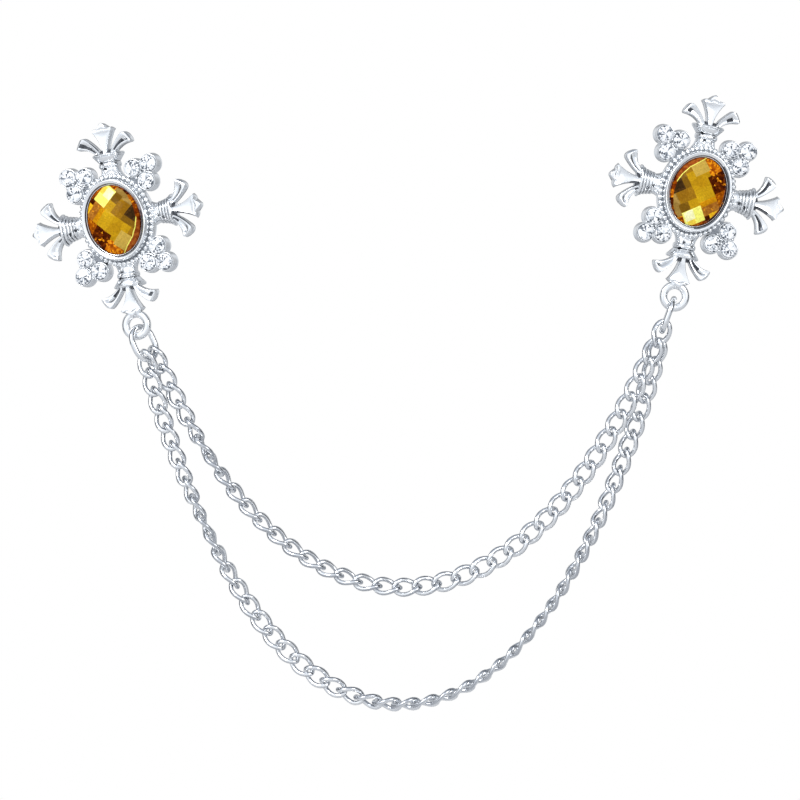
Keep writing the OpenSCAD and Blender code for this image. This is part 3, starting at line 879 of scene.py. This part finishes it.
def add_node(tree, kind, inputs, **settings):
    """A new shader node."""
    node = tree.nodes.new("ShaderNode" + kind)
    for setting, value in settings.items():
        setattr(node, setting, value)
    feed(tree, node, inputs)
    return node


def principled(name):
    """A new material, its tree and its shader."""
    material = bpy.data.materials.new(name)
    material.use_nodes = True
    return material, material.node_tree, material.node_tree.nodes["Principled BSDF"]


def object_noise(tree, scale, detail=3.0, rough=0.5):
    """Noise fixed to the piece, whose scale is in waves per metre."""
    place = add_node(tree, "TexCoord", {}).outputs["Object"]
    noise = add_node(tree, "TexNoise", {"Vector": place, "Scale": scale, "Detail": detail, "Roughness": rough})
    return noise.outputs["Fac"]


def ramp(tree, source, stops):
    """The colours of a ramp through stops of (position, colour)."""
    node = add_node(tree, "ValToRGB", {"Fac": source})
    elements = node.color_ramp.elements
    while len(elements) < len(stops):
        elements.new(0.5)
    for element, (position, colour) in zip(elements, stops):
        element.position = position
        element.color = (*colour, 1)
    return node.outputs["Color"]


def level(tree, source, low, high, from_low=0.0, from_high=1.0):
    """A value carried to the range from low to high."""
    limits = {"From Min": from_low, "From Max": from_high, "To Min": low, "To Max": high}
    return add_node(tree, "MapRange", {"Value": source, **limits}).outputs["Result"]


# A ripple's depth in metres, and the waves of polish and ripples to one of the tone
RIPPLE_DEPTH = 0.0002
POLISH_WAVE, RIPPLE_WAVE = 3, 1.7


def silver(name, base, shade, rough_low, rough_high, bump, wave, metallic=1.0):
    """Polished plating over a casting or wire: faint cloudy tone, uneven polish and fine ripples."""
    material, tree, shader = principled(name)
    polish = object_noise(tree, wave * POLISH_WAVE, 3.0, 0.55)
    ripple = object_noise(tree, wave * RIPPLE_WAVE, 2.0, 0.5)
    dent = add_node(tree, "Bump", {"Strength": bump, "Distance": RIPPLE_DEPTH, "Height": ripple})
    feed(tree, shader, {
        "Base Color": ramp(tree, object_noise(tree, wave, 4.0, 0.6), ((0.3, shade), (0.62, base))),
        "Metallic": metallic,
        "Roughness": level(tree, polish, rough_low, rough_high),
        "Normal": dent.outputs["Normal"],
    })
    return material


# The amber's pattern: squares to a cell in broken tints, in smooth ones and in the weave over both, the weave's least
# and most brightness, and the colour of the painted glints
MOSAIC, SMOOTH, THREADS = 8.5, 1.5, 14.0
WEAVE = (0.86, 1.14)
GLINT = (1.0, 0.36, 0.01)
SQUARES = {"voronoi_dimensions": "2D", "distance": "CHEBYCHEV"}
# Colour patches to a metre in the clear stones
SPECKLES = 3000.0


def glass(name, rough, shine):
    """A new material with the surface of foiled glass."""
    material, tree, shader = principled(name)
    feed(tree, shader, {"Roughness": rough, "IOR": 1.5, "Specular IOR Level": shine})
    return material, tree, shader


def cell_colours(tree, place, scale, **settings):
    """The channels of a pattern of cells, each of one random colour."""
    cells = add_node(tree, "TexVoronoi", {"Vector": place, "Scale": scale}, **settings)
    return add_node(tree, "SeparateColor", {"Color": cells.outputs["Color"]}).outputs


def amber(name, dark, mid, light, glint=0.0, wave=SMOOTH):
    """One tint of the amber stone: the broken colours that its back facets reflect, painted in squares along the
    checkerboard.
    """
    material, tree, shader = glass(name, 0.10, 0.01)
    place = add_node(tree, "UVMap", {}, uv_map="cells").outputs["UV"]
    stops = [(0.0, dark), (0.5, mid), (0.95 - glint, light)]
    if glint:
        stops.append((1.0 - glint / 2, GLINT))
    tone = ramp(tree, cell_colours(tree, place, wave, **SQUARES)["Red"], stops)
    threads = cell_colours(tree, place, THREADS, **SQUARES)["Green"]
    weave = add_node(tree, "HueSaturation", {"Value": level(tree, threads, *WEAVE), "Color": tone})
    feed(tree, shader, {"Base Color": weave.outputs["Color"]})
    return material


def clear(name, low, high):
    """One painted reflection tint of a clear foiled stone, in fine speckles."""
    material, tree, shader = glass(name, 0.08, 0.15)
    place = add_node(tree, "TexCoord", {}).outputs["Object"]
    feed(tree, shader, {
        "Base Color": ramp(tree, cell_colours(tree, place, SPECKLES)["Red"], ((0.15, low), (0.7, high))),
    })
    return material


CASTING = silver("casting_silver", (0.96, 0.97, 0.98), (0.87, 0.89, 0.91), 0.17, 0.28, 0.05, 900.0)
# Painted shade for the castings' grooves and creases, and a duller, lighter painted shade for their hollows
GROOVE = silver("casting_painted_shade", (0.16, 0.17, 0.19), (0.06, 0.065, 0.075), 0.30, 0.45, 0.10, 1500.0, 0.6)
HOLLOW = silver("casting_dull_shade", (0.30, 0.32, 0.35), (0.20, 0.22, 0.25), 0.28, 0.42, 0.10, 1500.0, 0.4)
WIRE = silver("chain_silver", (0.95, 0.96, 0.97), (0.84, 0.86, 0.89), 0.08, 0.18, 0.05, 700.0)
# Painted shade for the sides of the chain's wire
EDGE_SHADE = silver("chain_edge_shade", (0.64, 0.66, 0.69), (0.50, 0.52, 0.56), 0.14, 0.26, 0.05, 700.0)
PIN = silver("pin_nickel", (0.74, 0.75, 0.77), (0.60, 0.61, 0.63), 0.22, 0.38, 0.05, 800.0)

# The amber's tints, as dark, middle and light colour, then share of painted glints and squares to a cell where it has
# them. Sun, flame and lemon are painted highlights
AMBER_TINTS = {
    "deep": ((0.10, 0.010, 0.001), (0.30, 0.050, 0.002), (0.52, 0.13, 0.004), 0.08, MOSAIC),
    "orange": ((0.26, 0.040, 0.002), (0.54, 0.125, 0.004), (0.74, 0.25, 0.008), 0.16, MOSAIC),
    "gold": ((0.44, 0.225, 0.006), (0.50, 0.27, 0.007), (0.56, 0.31, 0.009)),
    "olive": ((0.17, 0.080, 0.006), (0.22, 0.105, 0.008), (0.28, 0.14, 0.010)),
    "lemon_highlight": ((0.90, 0.84, 0.12), (0.95, 0.90, 0.16), (1.0, 0.96, 0.22)),
    "black": ((0.030, 0.015, 0.005), (0.050, 0.023, 0.006), (0.08, 0.036, 0.009), 0.0, MOSAIC),
    "tan": ((0.52, 0.33, 0.050), (0.57, 0.37, 0.065), (0.62, 0.42, 0.08)),
    "shadow": ((0.04, 0.005, 0.001), (0.09, 0.013, 0.001), (0.22, 0.038, 0.002), 0.03, MOSAIC),
    "bright": ((0.54, 0.30, 0.008), (0.59, 0.34, 0.010), (0.66, 0.39, 0.012)),
    "sun_highlight": ((0.96, 0.92, 0.36), (0.98, 0.95, 0.48), (1.0, 0.98, 0.60)),
    "brown": ((0.26, 0.115, 0.006), (0.31, 0.145, 0.008), (0.36, 0.18, 0.010)),
    "glow": ((0.34, 0.110, 0.012), (0.42, 0.150, 0.018), (0.50, 0.20, 0.024), 0.04, MOSAIC),
    "rim": ((0.24, 0.045, 0.006), (0.36, 0.080, 0.012), (0.46, 0.13, 0.02), 0.0, MOSAIC),
    "honey": ((0.50, 0.275, 0.008), (0.55, 0.31, 0.009), (0.60, 0.35, 0.012)),
    "ember": ((0.50, 0.19, 0.003), (0.58, 0.24, 0.004), (0.66, 0.30, 0.005), 0.04, MOSAIC),
    "topaz": ((0.72, 0.33, 0.008), (0.84, 0.43, 0.012), (0.94, 0.55, 0.018), 0.0, MOSAIC),
    "flame": ((0.88, 0.58, 0.050), (0.92, 0.65, 0.07), (0.96, 0.74, 0.09)),
    "rust": ((0.24, 0.045, 0.001), (0.36, 0.078, 0.002), (0.50, 0.13, 0.003), 0.03, MOSAIC),
    "dusk": ((0.28, 0.16, 0.032), (0.34, 0.20, 0.044), (0.40, 0.24, 0.056)),
}
AMBERS = [amber(f"amber_{name}", *looks) for name, looks in AMBER_TINTS.items()]
(DEEP, ORANGE, GOLD, OLIVE, LEMON_HIGHLIGHT, BLACK, TAN, SHADOW, BRIGHT_GOLD, SUN_HIGHLIGHT, BROWN, GLOW, RIM, HONEY, EMBER, TOPAZ, FLAME_HIGHLIGHT,
 RUST, DUSK) = range(len(AMBERS))
# Marks the crown's facets until they have their patches' tints
CROWN = len(AMBERS)
# Patches of one tint, as from and to along the checkerboard, from and to across it, in cells. The first one counts.
# Over the amber's own colours they paint the light that the facets reflect, with painted highlights in sun, flame and
# lemon
PATCHES = (
    (1.11, 1.70, 0.47, 1.07, SUN_HIGHLIGHT), (1.15, 1.62, 1.07, 1.39, FLAME_HIGHLIGHT), (0.59, 1.78, 0.44, 1.39, LEMON_HIGHLIGHT),
    (0.22, 0.61, -0.30, 0.30, BRIGHT_GOLD), (-0.51, 0.61, -0.47, 0.28, HONEY),
    (-0.53, 0.61, -1.26, -0.30, GOLD), (-0.91, 0.11, -2.00, -1.26, TAN), (0.11, 0.61, -1.66, -1.26, GOLD),
    (0.11, 0.61, -1.90, -1.66, BROWN), (0.61, 1.20, -0.09, 0.44, GOLD), (1.20, 1.78, -0.09, 0.47, OLIVE),
    (0.61, 1.65, -0.68, -0.09, BROWN), (1.65, 2.40, -0.84, 0.60, DUSK), (0.61, 0.98, -1.90, -0.84, OLIVE),
    (0.98, 1.80, -1.60, -0.84, BLACK), (0.61, 1.65, -0.84, -0.68, BROWN),
    (-0.43, 0.27, 1.16, 1.50, TOPAZ), (0.27, 0.59, 1.20, 1.50, SHADOW), (-0.51, 0.59, 0.28, 0.62, EMBER),
    (-0.51, 0.59, 0.62, 1.50, GLOW), (-1.60, -0.51, 0.20, 1.20, RUST), (-0.78, -0.53, -1.26, -0.93, GOLD),
    (-1.70, -0.51, -0.93, 0.20, SHADOW), (-1.70, -0.51, -1.80, -0.93, ORANGE),
)

CLEARS = [
    clear("clear_white", (0.90, 0.92, 0.94), (0.99, 0.99, 1.0)),
    clear("clear_pale", (0.62, 0.65, 0.69), (0.86, 0.88, 0.90)),
    clear("clear_grey", (0.26, 0.29, 0.33), (0.50, 0.53, 0.57)),
    clear("clear_dark", (0.05, 0.06, 0.075), (0.18, 0.20, 0.23)),
]


# Pieces

CASTING_SHARP = 38

for side, place in PLACES.items():
    flat, hanging = casting(side), Shape()
    hanging.add(flat.points, flat.faces, place, flat.tints)
    hanging.make(f"{side}_casting", [CASTING, GROOVE, HOLLOW], "casting", f"{side}_brooch", sharp=CASTING_SHARP)

for side, place in PLACES.items():
    own_turn = SETTING_TURN[side]
    oval_stone(f"{side}_oval_stone", place @ turned(own_turn), CELL_TURN[side] - own_turn, STONE_SEED[side],
               f"{side}_stone")

spots = [(fx * x, fy * y) for fx in (1, -1) for fy in (1, -1) for x, y in GEM_SPOTS]
for side, place in PLACES.items():
    for index, (x, y) in enumerate(spots, 1):
        rng = random.Random(100 * index + len(side))
        gem = Shape()
        seat = place @ Matrix.Translation((x, y, GEM_SEAT_H + GAP))
        round_gem(gem, seat @ Matrix.Rotation(rng.uniform(0, 2 * pi), 4, "Z"), rng)
        gem.make(f"{side}_crystal_{index}", CLEARS, "clear_stone", f"{side}_gem_{index}", smooth=False)

# The strands hold each ring on either side of its lowest point
ring_seat = Vector((0, -LOOP_Y - LOOP_HOLE_R + RING_WIRE / 2 + LOOP_GAP, LOOP_T / 2))
for name, table, hold in (("short", SHORT, HOLD), ("long", LONG, -HOLD)):
    start, end = (ring_end(PLACES[side] @ ring_seat, *RING_POSE[side], across)
                  for side, across in (("left", hold), ("right", -hold)))
    strand(f"{name}_links", start, end, table, f"chain_{name}")

for name, material in (("left_ring", WIRE), ("right_ring", WIRE), ("left_pin", PIN), ("right_pin", PIN)):
    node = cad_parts[name]
    node.data.materials.clear()
    node.data.materials.append(material)


# Stage, light and camera

FLOOR_R = 0.32
FLOOR_MIDDLE = (0.038, 0.0, -0.105)


def stage_floor():
    """A pale round card below the part."""
    mesh = bpy.data.meshes.new("floor")
    bm = bmesh.new()
    bmesh.ops.create_circle(bm, cap_ends=True, segments=64, radius=FLOOR_R)
    bm.transform(Matrix.Translation(FLOOR_MIDDLE))
    bm.to_mesh(mesh)
    bm.free()
    material, tree, shader = principled("floor_card")
    tone = ramp(tree, object_noise(tree, 60.0), ((0.3, (0.80, 0.80, 0.80)), (0.7, (0.84, 0.84, 0.84))))
    feed(tree, shader, {"Roughness": 0.8, "Base Color": tone})
    mesh.materials.append(material)
    add_object("floor", mesh)


# Brightness round the studio: 0 and 1 are towards the camera, 0.25 left, 0.5 away, 0.75 right
STUDIO_SIDES = (
    (0.0, 0.84), (0.06, 0.97), (0.14, 0.98), (0.185, 0.78), (0.21, 0.05), (0.26, 0.06), (0.29, 0.36), (0.33, 0.56),
    (0.36, 0.28), (0.39, 0.62), (0.42, 0.74), (0.45, 0.34), (0.50, 0.38), (0.55, 0.30), (0.58, 0.62), (0.61, 0.72),
    (0.64, 0.28), (0.67, 0.56), (0.71, 0.40), (0.74, 0.10), (0.78, 0.04), (0.815, 0.06), (0.85, 0.70), (0.93, 0.80),
    (1.0, 0.84),
)
STUDIO_TINT = (1, 1.03, 1.07)
# Its colour by height: 0 is straight down, 0.5 level, 1 straight up
STUDIO_HEIGHTS = (
    (0.0, (0.20, 0.21, 0.23)), (0.22, (0.30, 0.32, 0.35)), (0.36, (0.70, 0.72, 0.75)), (0.48, (0.96, 0.97, 0.98)),
    (0.62, (1.0, 1.0, 1.0)), (0.80, (0.95, 0.96, 0.98)), (0.92, (0.60, 0.63, 0.68)), (1.0, (0.40, 0.43, 0.48)),
)
STUDIO_STRENGTH = 1.15


def studio_world():
    """White to the camera, and a soft studio with darker sides for reflections."""
    world = bpy.data.worlds.new("studio")
    bpy.context.scene.world = world
    world.use_nodes = True
    tree = world.node_tree
    tree.nodes.clear()
    place = add_node(tree, "TexCoord", {})
    way = add_node(tree, "SeparateXYZ", {"Vector": place.outputs["Generated"]})
    upright = ramp(tree, level(tree, way.outputs["Z"], 0.0, 1.0, -1.0), STUDIO_HEIGHTS)
    turn = add_node(tree, "Math", {0: way.outputs["X"], 1: way.outputs["Y"]}, operation="ARCTAN2")
    around = level(tree, turn.outputs[0], 0.0, 1.0, -pi, pi)
    sides = ramp(tree, around, [(stop, [tone * share for share in STUDIO_TINT]) for stop, tone in STUDIO_SIDES])
    both = add_node(tree, "Mix", {"Factor": 1.0, "A": upright, "B": sides}, data_type="RGBA", blend_type="MULTIPLY")
    studio = add_node(tree, "Background", {"Color": both.outputs["Result"], "Strength": STUDIO_STRENGTH})
    seen = add_node(tree, "Background", {"Color": (1, 1, 1, 1)})
    path = add_node(tree, "LightPath", {})
    mix = add_node(tree, "MixShader", {
        "Fac": path.outputs["Is Camera Ray"], 1: studio.outputs["Background"], 2: seen.outputs["Background"],
    })
    add_node(tree, "OutputWorld", {"Surface": mix.outputs["Shader"]})


LIGHT_TARGET = (0.038, 0, -0.02)


def area_light(name, place, size, power):
    """A square lamp that faces the part's middle."""
    light = bpy.data.lights.new(name, "AREA")
    light.size = size
    light.energy = power
    lamp = add_object(name, light)
    lamp.location = place
    lamp.rotation_euler = (Vector(LIGHT_TARGET) - Vector(place)).to_track_quat("-Z", "Y").to_euler()


# The photograph's frame, in metres, seen with hardly any perspective
VIEW_WIDTH = 0.1081
VIEW_CENTRE = (0.03779, -0.0243)
LENS = 500.0
SENSOR = 36.0

stage_floor()
studio_world()
area_light("key", (-0.30, -0.55, 0.40), 0.25, 2.4)
area_light("fill", (0.45, -0.50, 0.15), 0.20, 0.6)

camera_data = bpy.data.cameras.new("camera")
camera_data.lens = LENS
camera_data.sensor_width = SENSOR
camera_data.clip_end = 20
camera = add_object("camera", camera_data)
camera.location = (VIEW_CENTRE[0], -VIEW_WIDTH * LENS / SENSOR, VIEW_CENTRE[1])
camera.rotation_euler = (radians(90), 0, 0)
bpy.context.scene.camera = camera
bpy.context.scene.view_settings.view_transform = "Standard"
